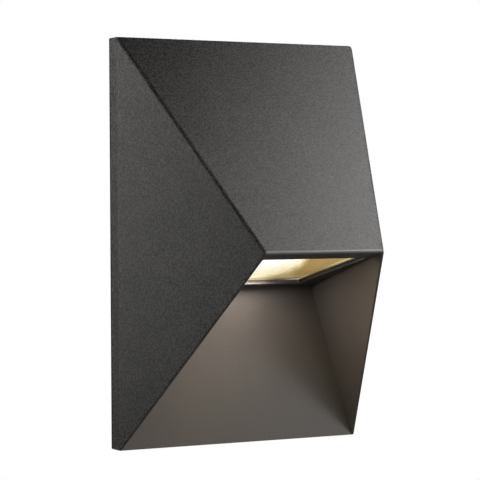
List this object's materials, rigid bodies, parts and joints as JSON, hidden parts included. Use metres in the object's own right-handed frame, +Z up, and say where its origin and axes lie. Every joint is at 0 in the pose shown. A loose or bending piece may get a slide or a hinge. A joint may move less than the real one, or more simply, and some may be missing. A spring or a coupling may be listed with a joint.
{
  "type": "outdoor wall light",
  "caption": "Faceted outdoor wall light: a die-cast wedge housing on a wall bracket, with a lit glass window under its ridge that washes the recess below.",
  "frame": {"origin": "middle of the wall plane, on the bracket's back face", "axes": "+Z up, +Y into the wall, so the front faces -Y; +X to the right of someone facing the light"},
  "size_m": [0.155, 0.1028, 0.23],
  "materials": {
    "powder_coat": "die casting with an anthracite powder coat, fine sand texture, satin",
    "black_rubber": "matte black rubber",
    "clear_silicone": "translucent silicone",
    "zinc_steel": "zinc-plated pressed sheet",
    "screw_steel": "stainless",
    "brass": "plain brass",
    "clear_glass": "clear float glass",
    "reflector_aluminium": "satin anodised reflector sheet",
    "holder_ceramic": "unglazed white ceramic",
    "white_plastic": "moulded, matte",
    "lamp_glass": "frosted",
    "lamp_pin_metal": "bright wire",
    "light_strip": "light-emitting strip",
    "brown_insulation": "silicone",
    "blue_insulation": "silicone",
    "green_yellow_insulation": "silicone"
  },
  "bodies": {
    "bracket": {"wall_bracket": "zinc_steel", "cable_grommet": "black_rubber", "bracket_earth_washer": "brass", "bracket_earth_screw": "brass"},
    "housing": {"housing": "powder_coat", "wall_gasket": "black_rubber", "glass_seal": "clear_silicone", "holder_bracket": "zinc_steel", "gear_tray": "zinc_steel", "grub_screws": "screw_steel", "reflector_screws": "screw_steel", "holder_bracket_screws": "screw_steel", "holder_screws": "screw_steel", "tray_screws": "screw_steel", "terminal_screws": "screw_steel", "terminal_fixing_screws": "screw_steel", "terminal_tubes": "brass", "holder_contacts": "brass", "housing_earth_screw": "brass", "earth_tag": "brass", "glass_pane": "clear_glass", "reflector": "reflector_aluminium", "glass_retainer": "reflector_aluminium", "lamp_holder": "holder_ceramic", "terminal_block": "white_plastic", "live_wire": "brown_insulation", "neutral_wire": "blue_insulation", "earth_wire": "green_yellow_insulation"},
    "lamp": {"lamp_base": "white_plastic", "lamp_pins": "lamp_pin_metal", "lamp_envelope": "lamp_glass", "lamp_light_strip": "light_strip"}
  },
  "joints": [
    {"name": "housing_off", "type": "slide", "parent": "bracket", "child": "housing", "axis": [0, -1, 0], "range_m": [0, 0.12]},
    {"name": "lamp_pull", "type": "slide", "parent": "housing", "child": "lamp", "axis": [-1, 0, 0], "range_m": [0, 0.015]}
  ]
}
